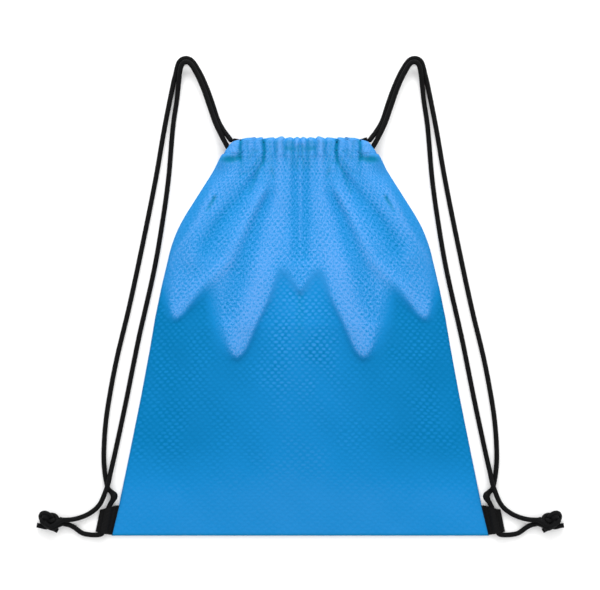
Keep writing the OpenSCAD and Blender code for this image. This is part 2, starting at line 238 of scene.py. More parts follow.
class Signal:
    """An output of a node. Each operation on it adds a node to its tree."""

    def __init__(self, socket):
        self.socket = socket
        self.tree = socket.id_data

    def math(self, operation, *others):
        """A Math node on this signal and the others, which may be plain values."""
        return add_node(self.tree, "Math", dict(enumerate((self,) + others)), 0, operation=operation)

    def __add__(self, other):
        return self.math("ADD", other)

    def __sub__(self, other):
        return self.math("SUBTRACT", other)

    def __mul__(self, other):
        return self.math("MULTIPLY", other)

    def __truediv__(self, other):
        return self.math("DIVIDE", other)

    def sine(self, turn):
        return (self * turn).math("SINE")

    def cosine(self, turn):
        return (self * turn).math("COSINE")

    def step(self, low, high):
        """Smooth step from 0 at one level to 1 at the other."""
        return add_node(self.tree, "MapRange", {"Value": self, "From Min": low, "From Max": high},
                        "Result", interpolation_type="SMOOTHSTEP")

    def noise(self, scale, detail=2.0, roughness=0.5):
        """Noise from 0 to 1 over the places that this signal holds."""
        inputs = {"Vector": self, "Scale": scale, "Detail": detail, "Roughness": roughness}
        return add_node(self.tree, "TexNoise", inputs, "Fac")

    def mix(self, a, b):
        """Colour a where this signal is 0 and b where it is 1."""
        return add_node(self.tree, "Mix", {0: self, 6: a, 7: b}, 2, data_type="RGBA")

    def bump(self, distance, strength):
        """Normal of a surface with this relief."""
        inputs = {"Height": self, "Distance": distance, "Strength": strength}
        return add_node(self.tree, "Bump", inputs, "Normal")

    def split(self):
        """The first two numbers of a vector."""
        first = add_node(self.tree, "SeparateXYZ", {0: self}, "X")
        return first, Signal(first.socket.node.outputs["Y"])


def feed(value, target):
    """Links a signal to a socket, or sets a plain value."""
    if isinstance(value, Signal):
        target.id_data.links.new(value.socket, target)
    else:
        target.default_value = value


def add_node(tree, kind, inputs, output, **settings):
    """Adds a shader node, sets it up, feeds its inputs and returns one of its outputs."""
    made = tree.nodes.new("ShaderNode" + kind)
    for name, value in settings.items():
        setattr(made, name, value)
    for name, value in inputs.items():
        feed(value, made.inputs[name])
    return Signal(made.outputs[output])


def coordinates(tree, kind):
    """The surface's own coordinates: UV or Object."""
    return add_node(tree, "TexCoord", {}, kind)


def attribute(tree, name):
    """A number stored at the mesh's points."""
    return add_node(tree, "Attribute", {}, "Fac", attribute_name=name)


def scaled(colour, times):
    """The colour made lighter or darker."""
    return tuple(min(1.0, part * times) for part in colour[:3]) + (1.0,)


def new_material(name, roughness, specular):
    """A Principled material; returns it, its node tree and its shader's inputs."""
    material = bpy.data.materials.new(name)
    material.use_nodes = True
    shader = material.node_tree.nodes["Principled BSDF"].inputs
    shader["Roughness"].default_value = roughness
    shader["Specular IOR Level"].default_value = specular
    return material, material.node_tree, shader


def new_group(name, sizes, pattern):
    """A shader node group that makes a pattern of two coordinates and some sizes in metres."""
    group = bpy.data.node_groups.new(name, "ShaderNodeTree")
    labels = ("Across", "Along") + sizes
    for label in labels:
        group.interface.new_socket(name=label, in_out="INPUT", socket_type="NodeSocketFloat")
    group.interface.new_socket(name=name, in_out="OUTPUT", socket_type="NodeSocketFloat")
    given = group.nodes.new("NodeGroupInput").outputs
    made = pattern(*[Signal(given[label]) for label in labels])
    feed(made, group.nodes.new("NodeGroupOutput").inputs[0])
    return group


def plain_weave(across, along, pitch):
    """Threads over and under each other: bright where a thread comes up."""
    return (across / pitch).sine(math.pi) * (along / pitch).sine(math.pi) * 0.5 + 0.5


def dobby_cells(across, along, cell, row):
    """Raised flat cells of a dobby weave, each row shifted half a cell."""
    rows = along / row
    crossed = (across / cell).cosine(2 * math.pi) * rows.cosine(math.pi)
    flatter = rows.cosine(2 * math.pi) * 0.35
    return (flatter + crossed).step(-0.85, 1.05)


THREAD_PITCH = 0.0008
BRAID_STRANDS = 8


def fabric_material(cloth):
    """Dobby-woven polyester: UV is the flat cloth in metres, and attributes hold the painted light and
    shade of the drape.
    """
    material, tree, shader = new_material("azure dobby polyester", 0.62, 0.02)
    place = coordinates(tree, "UV")
    across, along = place.split()
    # The slack cloth draws its cells out of line, by a few millimetres
    across = (place.noise(75.0) - 0.5) * 0.0065 + across
    along = (place.noise(48.0) - 0.5) * 0.0050 + along
    dobby = new_group("Dobby cells", ("Cell", "Row"), dobby_cells)
    cells = add_node(tree, "Group", {"Across": across, "Along": along, "Cell": cloth.weave_across,
                                     "Row": cloth.weave_along}, 0, node_tree=dobby)
    weave = new_group("Plain weave", ("Pitch",), plain_weave)
    threads = add_node(tree, "Group", {"Across": across, "Along": along, "Pitch": THREAD_PITCH},
                       0, node_tree=weave)
    # Cells show in patches; where the contrast is negative they give way to a finer net
    contrast = attribute(tree, "contrast")
    uneven = place.noise(230.0, 1.0) * 1.8 - 0.25
    patchy = place.noise(34.0).step(0.30, 0.66) * uneven + 0.20
    lift = (cells - 0.42) * (contrast * patchy)
    net_depth = (contrast * -1.0).math("MAXIMUM", 0.0) * 4.4 + 0.16
    net = (place.noise(480.0, 2.0, 0.7) - 0.5) * net_depth
    blotch = (place.noise(20.0) - 0.5) * 0.13
    tone = attribute(tree, "tone") + lift + net + blotch

    # The tone picks a blue from painted shade to painted highlight, and the crease shade mixes in the
    # painted shadow colour
    ramp = tree.nodes.new("ShaderNodeValToRGB")
    stops = ((0.0, cloth.deep_shade_colour), (0.30, cloth.panel_colour),
             (0.65, cloth.lit_fold_colour), (1.0, cloth.ridge_highlight_colour))
    for _ in stops[2:]:
        ramp.color_ramp.elements.new(0.5)
    for element, (position, colour) in zip(ramp.color_ramp.elements, stops):
        element.position = position
        element.color = tuple(colour)
    feed(tone, ramp.inputs["Fac"])
    painted_shading = attribute(tree, "crease_shade").mix(Signal(ramp.outputs["Color"]), tuple(cloth.crease_shadow_colour))
    specks = threads * 0.08 + 0.96
    feed(add_node(tree, "Mix", {0: 1.0, 6: painted_shading, 7: specks}, 2, data_type="RGBA",
                  blend_type="MULTIPLY"), shader["Base Color"])
    feed(coordinates(tree, "Object").noise(60.0, 3.0) * 0.2 + 0.5, shader["Roughness"])
    feed((cells * 0.8 + threads * 0.2).bump(0.0003, 0.5), shader["Normal"])
    return material


def cord_material(cord):
    """Black round braid: U goes round the cord, V along it in turns of the braid."""
    material, tree, shader = new_material("black braided cord", 0.45, 0.05)
    around, along = coordinates(tree, "UV").split()
    turn = BRAID_STRANDS * math.pi
    right, left = [(along * way + around).sine(turn).math("ABSOLUTE") for way in (1.0, -1.0)]
    picked = (along.sine(2 * turn) * around.sine(2 * turn)).step(-0.1, 0.1)
    height = left + (right - left) * picked
    # Painted sheen on the tops of the strands, four times the yarn's colour, and painted shade between
    # them, half of it
    feed(height.mix(scaled(cord.colour, 0.5), scaled(cord.colour, 4.0)), shader["Base Color"])
    feed(height * -0.15 + 0.65, shader["Roughness"])
    feed(height.bump(0.0004, 0.8), shader["Normal"])
    return material


def webbing_material(tab):
    """Ribbed black webbing: the ribs run out of the side seam."""
    material, tree, shader = new_material("black ribbed webbing", 0.75, 0.06)
    inputs = {"Vector": coordinates(tree, "Object"), "Rotation": (0.0, 0.0, SEAM_ANGLE)}
    out, run = add_node(tree, "Mapping", inputs, 0).split()
    ribs = run.sine(math.pi / 0.0014).math("ABSOLUTE")
    height = out.sine(math.pi / 0.0005) * 0.15 + ribs
    # Painted highlight on the tops of the ribs, 2.6 times the webbing's colour
    feed(height.step(0.1, 1.1).mix(tuple(tab.colour), scaled(tab.colour, 2.6)), shader["Base Color"])
    feed(height.bump(0.00025, 0.8), shader["Normal"])
    return material


def thread_material(name, colour):
    """Twisted sewing thread."""
    material, tree, shader = new_material(name, 0.6, 0.03)
    twist = coordinates(tree, "Object").noise(1800.0)
    feed(twist.mix(scaled(colour, 0.6), colour), shader["Base Color"])
    feed(twist.bump(0.0001, 0.6), shader["Normal"])
    return material


# ---------------- cloth shape, in millimetres


def half_width(y):
    """Half the bag's width at a place along its length."""
    y = np.asarray(y, float)
    turn = np.clip(y - shoulder_y, 0, SHOULDER_TURN)
    half = bottom_half - SIDE_LEAN * (y - bottom_y)
    half = half - (shoulder_lean - SIDE_LEAN) * turn * turn / (2 * SHOULDER_TURN)
    return half - (shoulder_lean - SIDE_LEAN) * np.clip(y - shoulder_end_y, 0, None)


# Lower edge of the full folds that fall from the gathers, from the middle outwards
FOLD_EDGE = np.array([
    (0, 44.5), (4, 48.5), (9, 56), (14, 62.5), (19, 64.5), (22.5, 59), (26, 49.5), (30.7, 37.7),
    (36, 27), (41.8, 15.5), (47, 3.5), (51.5, -7), (55.5, -14.5), (59.5, -19), (63.5, -20.5),
    (68, -19), (72.5, -13), (77, -4), (82, 10), (86, 24), (89.5, 38), (93, 46), (97, 46), (103, 40),
    (111, 30.5), (118, 22.5), (123.5, 18.2), (127.5, 17.8), (131, 22), (135, 34)], float)
# Where the outermost fold dies out along the side
FOLD_SIDE = np.array([(135, 34), (139, 46), (146, 60), (150, 100), (150, 130)], float)

# How softly the folds' lower edge shades off, and how strong the painted highlight on its rim is: (x,
# softness, rim)
FOLD_RIM = np.array([
    (0, 3.5, 0), (7, 6, 0), (14, 9, 0), (20, 9, 0.1), (26, 6, 0.3), (32, 3.4, 0.6),
    (42, 2.6, 0.9), (64, 2.2, 1), (68, 3, 0.8), (75, 8, 0.4), (84, 15, 0.1), (94, 14, 0), (102, 7, 0.4),
    (110, 4, 0.7), (124, 2.6, 1), (131, 5, 0.4), (134, 9, 0)], float)

# Ridges and valleys that run down from the gathers: points, half width at the top, in the
# middle and at the end, height, tone: painted light on the ridges and painted shade in the valleys
FOLDS = [
    ([(19, 172), (19.5, 144), (26, 103), (35, 62), (48, 25), (61, -8)], (7.5, 12.5, 9), 3, 0.2),
    ([(31, 164), (30.7, 144.5), (44, 118.7), (54, 88), (66, 50), (74, 22)], (4.5, 9.5, 9), -2.6, -0.24),
    ([(32.2, 170), (36, 150), (53.5, 115.6), (72, 77.7), (99, 50), (123, 26)], (4.5, 7, 8), 3.8, 0.22),
    ([(39.8, 176), (47, 161), (54, 149), (67, 130.8), (84, 110), (96, 92)], (2.6, 7, 11), -3, -0.22),
    ([(62, 172), (74, 155), (90, 130), (104, 104), (112, 80)], (6, 9, 8), 2.6, 0.12),
    ([(82, 160), (94, 137), (103.6, 117), (115, 100), (126, 86), (133, 72)], (2.4, 3.2, 2.6), 1, 0.15),
    ([(93, 160), (105, 136), (114.5, 117), (124.5, 100), (133, 84), (139, 64)], (5, 6.5, 4), -1.4, -0.17),
    ([(72, 133), (84, 111), (97, 86), (108, 62)], (3, 5, 5), -1, -0.07),
    ([(4.8, 186), (5, 159), (5, 118), (4.5, 80)], (4.5, 5, 5), -2, -0.22),
    ([(0, 178), (0, 150), (0, 100)], (1.2, 2, 1.5), 1.2, 0.2),
    ([(10, 106), (14, 86), (16, 68)], (3, 5, 5), 0.8, 0.08),
]
# Sharp creases, sunk into the cloth and darkened with painted shade: points, half width, depth
CREASES = [
    ([(37.4, 197), (35.8, 191), (36, 184), (38.2, 175), (42.8, 167), (46.5, 158), (51, 146)], 1.7, 2.9),
    ([(59.6, 197), (60.4, 189), (60.8, 181), (57.5, 172)], 1.6, 2.2),
    ([(1.9, 193), (2.4, 182), (3.4, 168)], 1.4, 2.4),
    ([(8, 196), (7.8, 186), (8.6, 170)], 2.2, 1.9),
    ([(14.2, 196), (14.6, 186), (13.2, 172)], 1.3, 1.2),
    ([(31, 197), (30.4, 188), (28.4, 176), (27.6, 160)], 1.7, 1.4),
    ([(53, 197), (53.6, 190), (51.5, 183), (50.5, 176)], 1.5, 1.3),
    ([(23.2, 198), (23, 191), (24.4, 184)], 1.5, 1.6),
    ([(12, 197), (11, 192), (9.4, 186)], 1.8, 1.5),
    ([(66, 193), (62.5, 187), (60.5, 180)], 1.1, 1),
    ([(86.2, 141), (89.5, 135), (94, 128)], 1.6, 3.6),
    ([(41, 181), (46, 171.5), (53, 165.5), (60, 164)], 1.2, 1.5),
    ([(34, 178), (29.5, 169), (26, 160)], 1.2, 1.3),
    ([(18.5, 198), (17.6, 189), (15, 180)], 1.3, 1.2),
    ([(47, 189), (49, 183), (55, 178)], 1.2, 1.4),
    ([(26, 196), (25, 184), (22, 172)], 1.4, 1.1),
    ([(0, 41), (0, 22), (0, -2)], 4.2, 0.8),
]
# Hollows in the shade: middle, half sizes, depth
HOLLOWS = [
    ((71, 179.4), (9, 3.4), 2), ((61.5, 181.5), (3.6, 2.8), 1.1),
    ((11.5, 189.8), (3.2, 2), 0.9), ((5, 190.2), (2.4, 2.2), 0.7), ((14.5, 190.6), (2, 2.6), 0.6),
    ((44, 186.5), (3, 1.8), 0.6)]
# Pleats across the mouth: place, half width, height
PLEATS = [
    (0, 1.3, -0.3), (3.2, 2.2, 0.4), (7, 1.5, -0.28), (11, 3, 0.26), (15.6, 1.6, -0.3),
    (20.8, 3.4, 0.62), (25.6, 1.7, -0.34), (30, 3, 0.2), (36.8, 1.6, -0.6), (42.5, 3.2, 0.22),
    (46, 1.4, -0.2), (50, 2.6, 0.3), (55.6, 2.4, 0.12), (60.4, 1.5, -0.52), (66.5, 4.2, 0.34)]


# The folded edge: distances of its rows from the edge, and its radius
EDGE_STEPS = [0, 0.15, 0.6, 1.3, 2.3, 3.6, 5.2]
EDGE_ROUND = 3.0
# Heights of the side seams, the back cloth and the seam rolls
SEAM_Z = 2.1
BACK_Z = 0.45
ROLL_Z = 1.45
# The seam rolls: their width, how far in from the cloth's sides and bottom they lie, how far from
# the tab's middle the side ones begin, the step along them, how much a stitch narrows them and
# how much fuller than round they are
ROLL_WIDTH = 2.0
ROLL_INSET = 1.5
ROLL_BOTTOM_INSET = 0.9
ROLL_START = 14.8
ROLL_STEP = 0.8
ROLL_DRAWN = 0.10
ROLL_FULL = 1.15
# Radius of the hem's top edge
HEM_ROUND = 3.5
# Where the hem's open ends begin and how soon they are open, as parts of the half width
HEM_ENDS = 0.74
HEM_ENDS_RUN = 0.14
# How much of the way round the hem the open ends leave out
HEM_ENDS_CUT = 0.52
# The stitches: how far apart they are, and how deep their middle sinks into the cloth
STITCH_PITCH = 4.6
STITCH_SUNK = 0.10
# Each cloth as it is cut
# The filled front: where it is highest, its height at the mouth, and the hem's droop at the corners
CREST_Y = 12.0
MOUTH_RISE = 17.2
HEM_DROOP = 4.5
# How far the full folds stand above the slack cloth, and how far that sinks beside them
FOLD_STEP = 2.8
FOLD_DIP = 1.2
# Contrast of the full folds' cloth, whose cells are pulled flat
NET_CONTRAST = -0.42

# Half the cloth's width beside the hem, rounded off at the corner where the cords come out
HEM_SIDE = np.array([
    (181, 79.2), (185.5, 76.8), (188.6, 75.2), (191.6, 72.6), (194.6, 70.8), (197.4, 67.6),
    (199.3, 61), (200.6, 57), (202.5, 52.5)], float)
# How far the slack cloth stands out of the seam's line along the sides
SIDE_SLACK = np.array([
    (-200, 0.8), (-170, -0.4), (-120, -0.4), (-60, -0.2), (-10, 0.8), (20, 1.9), (50, 1.9),
    (78, 1), (95, 1.9), (112, 3.2), (125, 4), (155, 4), (170, 4), (181, 5.4)], float)


def to_line(x, y, points):
    """Distance from each place to a line of points, and how far along the nearest place is."""
    points = np.asarray(points, float)
    lengths = np.linalg.norm(np.diff(points, axis=0), axis=1)
    ends = np.concatenate([[0], np.cumsum(lengths)])
    best = np.full(x.shape, 1e9)
    along = np.zeros(x.shape)
    for start, end, length, before in zip(points[:-1], points[1:], lengths, ends[:-1]):
        step = (end - start) / length
        part = np.clip((x - start[0]) * step[0] + (y - start[1]) * step[1], 0, length)
        away = np.hypot(x - start[0] - part * step[0], y - start[1] - part * step[1])
        along = np.where(away < best, before + part, along)
        best = np.minimum(away, best)
    return best, along / ends[-1]


def fold_distance(x, y):
    """Signed distance to the lower edge of the full folds, positive inside them, for x from 0 up."""
    away = np.minimum(to_line(x, y, FOLD_EDGE)[0], to_line(x, y, FOLD_SIDE)[0])
    edge_y = np.interp(x, FOLD_EDGE[:, 0], FOLD_EDGE[:, 1])
    side_x = np.interp(y, FOLD_SIDE[:, 1], FOLD_SIDE[:, 0], right=1e3)
    return np.where((y > edge_y) & (x < side_x), away, -away)


def folds_at(x, y):
    """Height, painted light (tone) and painted shade of the ridges, valleys, creases and hollows."""
    x = np.abs(x)
    height, tone, crease_shade = np.zeros((3,) + x.shape)
    for points, widths, rise, lightness in FOLDS:
        away, along = to_line(x, y, points)
        away = away / np.interp(along, (0, 0.5, 1), widths)
        starting = 0.35 + 0.65 * ease(along * 5)
        height += rise * bell(away) * starting * (1 - 0.5 * along)
        tone += lightness * np.exp(-away ** 3.4) * starting * (1 - 0.25 * along)
    for points, width, depth in CREASES:
        away, along = to_line(x, y, points)
        shape = depth * bell(away / width) * (1 - 0.6 * along)
        height -= 0.6 * shape
        crease_shade += 0.26 * shape
    for (middle_x, middle_y), (size_x, size_y), depth in HOLLOWS:
        away = ((x - middle_x) / size_x) ** 2 + ((y - middle_y) / size_y) ** 2
        shape = depth * np.exp(-away ** 1.4)
        height -= shape
        crease_shade += 0.5 * shape
    return height, tone, crease_shade


def pleats(x):
    """Pleats across the mouth, about 0 to 1."""
    return 0.48 + sum(rise * bell((np.abs(x) - place) / width) for place, width, rise in PLEATS)


def pleat_rise(height):
    """How far the pleats stand out."""
    return 3.4 * np.maximum(height, -0.1) - 0.3


def pleat_shade(height):
    """Painted shade between the pleats."""
    return 0.75 * np.maximum(0.38 - height, 0)


def ripples(x, y):
    """Slight unevenness of slack cloth."""
    return (0.55 * np.sin(x / 23.0 + 0.8 * np.sin(y / 37.0)) * np.sin(y / 41.0 + 0.6)
            + 0.30 * np.sin(x / 11.0 - y / 17.0 + 1.3)
            + 0.22 * np.sin(x / 7.3 + y / 9.1)
            + 0.45 * np.sin((np.abs(x) - 0.35 * y) / 15.0))


def spaced(length, step):
    """Distances from 0 to length: close together near the edge, then even steps."""
    count = max(1, round((length - EDGE_STEPS[-1]) / step))
    return np.concatenate([EDGE_STEPS, np.linspace(EDGE_STEPS[-1], length, count + 1)[1:]])


def edge_round(distance):
    """Quarter round of the folded edge: 0 at the edge and 1 past its radius."""
    t = np.clip(1 - distance / EDGE_ROUND, 0, 1)
    return np.sqrt(1 - t * t)


def cloth_grid(half_count, row_step, hem_rows):
    """Places on one cloth, from -1 to 1 across: up the panel, then from 0 to 1 round the hem."""
    half = spaced(bottom_half, bottom_half / half_count) / bottom_half
    s = np.concatenate([half[:-1] - 1, 1 - half[::-1]])
    return (*np.meshgrid(s, cloth_low + spaced(hem_y - cloth_low, row_step)),
            *np.meshgrid(s, np.linspace(0, 1, hem_rows + 1)[1:]))


def hem_section(s, reach, cord_z, radius):
    """Hem's section over the cords: y, z, the outward direction and the length round it.
    reach runs from 0 at the stitched line to 1 at the folded edge inside."""
    flat = top_y - HEM_ROUND - hem_y
    turn = math.pi * radius
    length = 2 * flat + turn
    # Towards the corners the cloth goes less far round, so the cords come out
    run = reach * (1 - HEM_ENDS_CUT * ease((np.abs(s) - HEM_ENDS) / HEM_ENDS_RUN)) * length
    on_turn = np.clip(run - flat, 0, turn) / radius
    out_y, out_z = np.sin(on_turn), np.cos(on_turn)
    y = hem_y + np.clip(run, 0, flat) - np.clip(run - flat - turn, 0, flat) + radius * out_y
    return y, cord_z + radius * out_z, out_y, out_z, length


def hem_half_width(y):
    """Half the cloth's width at the hem."""
    return np.interp(y, HEM_SIDE[:, 0], HEM_SIDE[:, 1])


def cloth_half_width(y):
    """Half the cloth's width below the hem."""
    return half_width(y) + np.interp(y, SIDE_SLACK[:, 0], SIDE_SLACK[:, 1])


def joined(panel, hem, blend_in=1.0):
    """Panel rows and then hem rows, whose values start from the panel's last row."""
    return np.concatenate([panel, panel[-1] * (1 - blend_in) + hem * blend_in])


def front_cloth(cloth):
    """Front panel and its hem as one cloth: places, flat places, painted light (tone), painted shade and
    contrast.
    """
    s, y, s_hem, reach = cloth_grid(97, 1.9, 30)
    half = cloth_half_width(y)
    x = s * half
    out = np.abs(x)

    # The filled shape: steep at the bottom, highest near the middle, flatter at the mouth
    crest = cloth.crest / MM
    up = np.clip((y - bottom_y) / (CREST_Y - bottom_y), 0, 1)
    to_mouth = ease((y - CREST_Y) / (hem_y - CREST_Y))
    rise = np.where(y < CREST_Y, crest * (0.5 * np.sin(math.pi / 2 * up) + 0.5 * up ** 1.5),
                    crest + (MOUTH_RISE - crest) * to_mouth)
    lift = 13.0 * ease((y - 160) / 24)
    z = SEAM_Z + 2.0 + lift + (rise - lift) * (1 - np.abs(s) ** (2.2 + 4.5 * to_mouth))
    from_side = half - out
    from_bottom = y - cloth_low
    z = z - 2.0 * (1 - edge_round(from_side) * edge_round(from_bottom))
    inner = ease(from_side / 14) * ease(from_bottom / 14)

    # The full folds stand a step above the slack cloth
    away = fold_distance(out, y)
    softness, glow = [np.interp(out, FOLD_RIM[:, 0], FOLD_RIM[:, k]) for k in (1, 2)]
    petal = ease(away / (2 * softness) + 0.5)
    below = 1 - petal
    step = (FOLD_STEP * petal * np.exp(-np.maximum(away, 0) / 30)
            - FOLD_DIP * below * np.exp(-np.maximum(-away, 0) / 24))
    z = z + step * inner * ease((150 - y) / 60) * np.where(out > 112, 0.7, 1.0)
    height, fold_tone, crease_shade = folds_at(x, y)
    z = z + height * inner * (0.35 + 0.65 * ease((hem_y - y) / 16))
    z = z + (ripples(x, y) * inner * (0.35 + 0.5 * ease((y + 200) / 150))
             * ease((hem_y - y) / 40))
    gathered = pleats(x)
    near_mouth = np.exp(-(hem_y - y) / 16)
    z = z + pleat_rise(gathered) * near_mouth * ease(from_side / 6)

    # Painted light and shade: the folds lighter, with a painted highlight on their rim, and painted shade
    # on the slack cloth next to them, lighter in its middle and towards the bottom
    rim = bell((away - 7) / np.where(away > 7, 22.0, 9.0)) * petal * glow
    inside = (0.60 - 0.05 * ease((out - 84) / 44) + 0.17 * rim
              + 0.85 * fold_tone * (0.45 + 0.55 * ease(away / 22)))
    middle = bell(x / 82)
    low = ease((-95 - y) / 75)
    shade = np.exp(-np.maximum(-away, 0) / 20)
    outside = (0.07 + 0.23 * middle + (0.29 - 0.20 * middle) * low
               - 0.05 * shade * (1 - 0.6 * middle) + 0.10 * bell(x / 38) * ease((y + 30) / 70))
    # Near the mouth, painted light on the tops of the pleats and painted shade between them
    tone = inside * petal + outside * below + (0.06 + 0.40 * (gathered - 0.5)) * near_mouth

    # The dobby cells show most below the folds, in the middle and towards the sides
    cells = (0.15 + 0.38 * bell(x / 46) * ease((y + 74) / 60) + 0.10 * ease((out - 98) / 26)
             + 0.16 * bell((out - 104) / 18) * ease((y + 62) / 40))
    cells = cells * (1 - 0.55 * bell((out - 70) / 22) * ease((y + 90) / 40))
    contrast = NET_CONTRAST * petal + (0.05 + cells * (1 - low)) * below
    contrast = contrast * np.where(y > 40, 0.35 + 0.65 * ease((from_side - 4) / 12), 1.0)
    # Painted shade between the pleats near the mouth and along the rounded bottom edge
    crease_shade = crease_shade + pleat_shade(gathered) * near_mouth + 0.9 * bell(from_bottom / 1.4)

    # The hem goes on from the panel, over the cords, and sinks at the corners
    cord_z = (hem_low.z + hem_high.z) / 2
    y_hem, z_hem, out_y, out_z, length = hem_section(s_hem, reach, cord_z, HEM_ROUND)
    puff = pleats(s_hem * hem_half_width(y_hem))
    outer_face = ease((out_z + 1.0) / 0.8)
    bump = pleat_rise(puff) * outer_face
    y_hem = y_hem + bump * out_y * 0.75
    z_hem = z_hem + bump * out_z - HEM_DROOP * ease((np.abs(s_hem) - 0.83) / 0.17)
    x_hem = s_hem * hem_half_width(y_hem)
    z = joined(z, z_hem, ease(reach * 9))
    height, fold_tone, hem_crease_shade = folds_at(x_hem, y_hem)
    z[len(x):] += np.maximum(height, -1.0) * outer_face * 0.6
    past_seam = ease(reach * 3.5)
    # The hem's painted light: lighter on the tops of its puffs and ridges, with painted shade in its
    # creases and between its pleats
    tone = joined(tone, 0.70 + 0.55 * (puff - 0.5) + 0.4 * fold_tone, past_seam)
    return (joined(x, x_hem), joined(y, y_hem), z, joined(s, s_hem) * bottom_half,
            joined(from_bottom, hem_y - cloth_low + reach * length), tone,
            joined(crease_shade, hem_crease_shade + pleat_shade(puff) * outer_face),
            joined(contrast, NET_CONTRAST + 0.14 * past_seam))


def back_cloth():
    """Back panel and its hem as one cloth, lying on the floor, with the same measures."""
    s, y, s_hem, reach = cloth_grid(80, 2.6, 25)
    half = cloth_half_width(y)
    x = s * half
    from_side = half - np.abs(x)
    from_bottom = y - cloth_low
    inner = ease(from_side / 12) * ease(from_bottom / 12)
    rounded = edge_round(from_side) * edge_round(from_bottom)
    z = BACK_Z + (SEAM_Z - 0.25 - BACK_Z) * (1 - rounded) + 0.12 * (1 + ripples(x, y)) * inner
    # The back's pleats lie 4 mm beside the front's
    z = z + 2.4 * pleats(s * mouth_half + 4.0) * np.exp(-(hem_y - y) / 26) * inner

    cord_z = (back_hem_low.z + back_hem_high.z) / 2
    y_hem, z_up, out_y, out_z, length = hem_section(s_hem, reach, cord_z, HEM_ROUND - 0.1)
    puff = pleats(s_hem * mouth_half + 4.0)
    y_hem = y_hem + 2.0 * puff * out_y
    z_hem = 2 * cord_z - z_up + 0.5 * puff * ease((out_z + 0.4) / 0.8)
    xs, ys = joined(x, s_hem * hem_half_width(y_hem)), joined(y, y_hem)
    # Its tone is painted light: lighter towards the mouth
    return (xs, ys, joined(z, z_hem, ease(reach * 5)), joined(s, s_hem) * bottom_half,
            joined(from_bottom, hem_y - cloth_low + reach * length),
            0.24 + 0.30 * ease((ys - 120) / 70), 0.0, 0.3)


def cloth_object(name, measures, thickness, facing_up):
    """Makes one cloth from its grid, with its thickness, UV and attributes."""
    xs, ys, zs, flat_u, flat_v, tone, crease_shade, contrast = measures
    points = np.stack([xs, ys, zs], axis=-1).reshape(-1, 3) * MM
    piece = new_mesh_object(name, points, grid_faces(*xs.shape, flipped=not facing_up))
    set_uv(piece, np.stack([flat_u.ravel() + bottom_half, flat_v.ravel()], axis=-1) * MM)
    set_drape(piece, np.clip(tone, 0, 1), np.clip(crease_shade, 0, 0.9), np.clip(contrast, -1, 1))
    add_wall(piece, thickness, -1.0)
    return piece


def seam_roll(name, side):
    """Turned seam allowance between the two cloths, drawn in a little at each stitch."""
    if side:
        run = np.arange(TAB_MID_Y + ROLL_START, hem_y - 1.0, ROLL_STEP)
        across, along = side * (cloth_half_width(run) - ROLL_INSET), run
    else:
        run = np.arange(2.0 - bottom_half, bottom_half - 1.0, ROLL_STEP)
        across, along = run, np.full(run.shape, bottom_y + ROLL_BOTTOM_INSET)
    middle = np.stack([across, along, np.full(run.shape, ROLL_Z)], axis=-1) * MM
    piece = tube(name, middle, ROLL_WIDTH * MM, 12, True, True)
    points = np.zeros((len(piece.data.vertices), 3))
    piece.data.vertices.foreach_get("co", points.ravel())
    stitched = 1 - ROLL_DRAWN * np.abs(np.sin(math.pi * run / STITCH_PITCH)) ** 6
    squeeze = np.interp(points[:, 1 if side else 0] / MM, run, stitched) * ROLL_FULL
    points[:, 2] = (ROLL_Z + (points[:, 2] / MM - ROLL_Z) * squeeze) * MM
    piece.data.vertices.foreach_set("co", points.ravel())
    piece.data.uv_layers.remove(piece.data.uv_layers[0])
    set_uv(piece, points[:, :2] + [bottom_half * MM, -bottom_y * MM])
    # Painted shade: the rolls take a darker blue than the open panel
    set_drape(piece, 0.16, 0.0, 0.1)
    return piece


def stitch_places(measures):
    """Places of the stitches along a hem's seam, on the cloth."""
    xs, ys, zs = measures[:3]
    row = int(np.argmin(np.abs(ys[:, xs.shape[1] // 2] - (hem_y - 1.2))))
    count = int(2 * (mouth_half - 4) / STITCH_PITCH)
    places = []
    for n in range(count):
        x = (n - (count - 1) / 2) * STITCH_PITCH
        y, z = [float(np.interp(x, xs[row], values[row])) for values in (ys, zs)]
        places.append((x * MM, y * MM, (z - STITCH_SUNK) * MM, 0.0))
    return places


# ---------------- cord routes, in millimetres

CORD_RADIUS = 2.5
# Heights of a cord's middle on the floor and in the tab
CORD_Z = 2.6
TUNNEL_Z = 4.75
ROUTE_STEP = 1.2
# Where the rings of a rounded end lie on its quarter circle, in degrees
CAP_ANGLES = (15, 35, 55, 75)

# A point without a height lies on the floor
STRAP_OUTER = [
    (70.2, 199.1, 10.8), (77, 208.2, 6.4), (83.2, 219.2, 3), (88.8, 236), (93.8, 250), (99.6, 263.5),
    (104.2, 272), (108.1, 277.9), (111.6, 281.1), (115.8, 282.2), (119.9, 281), (122.9, 277.8),
    (124.9, 271.5), (126.6, 264), (129, 254), (137.5, 211), (146.5, 159), (159.2, 95.5), (172.9, 31.5),
    (185.5, -21), (193.6, -63.5), (197.3, -91), (198.8, -118), (198, -135), (195.8, -148.5)]
STRAP_INNER = [
    (72.9, 191.35, 10.68), (79.4, 203.2, 10.2), (85.7, 216.4, 9), (91.4, 232.5, 7.8),
    (96.8, 248.3, 7.7), (101.8, 260.4, 8), (106, 268.6, 8.2), (109.3, 274.2, 8.3), (112, 277.1, 8.3),
    (115, 278.2, 8.3), (118, 277.1, 8.2), (120.2, 273.9, 7.9), (121.6, 268.2, 7), (122.8, 259, 5.1),
    (124.9, 240, 2.85), (129, 211), (133.5, 159), (140.6, 109), (148.6, 64.5), (162.2, 4.5),
    (167.8, -22.5), (176, -63.5), (181.8, -91), (187.6, -118, 3.2), (191.6, -136, 5.6),
    (194, -147.6, 7.8)]
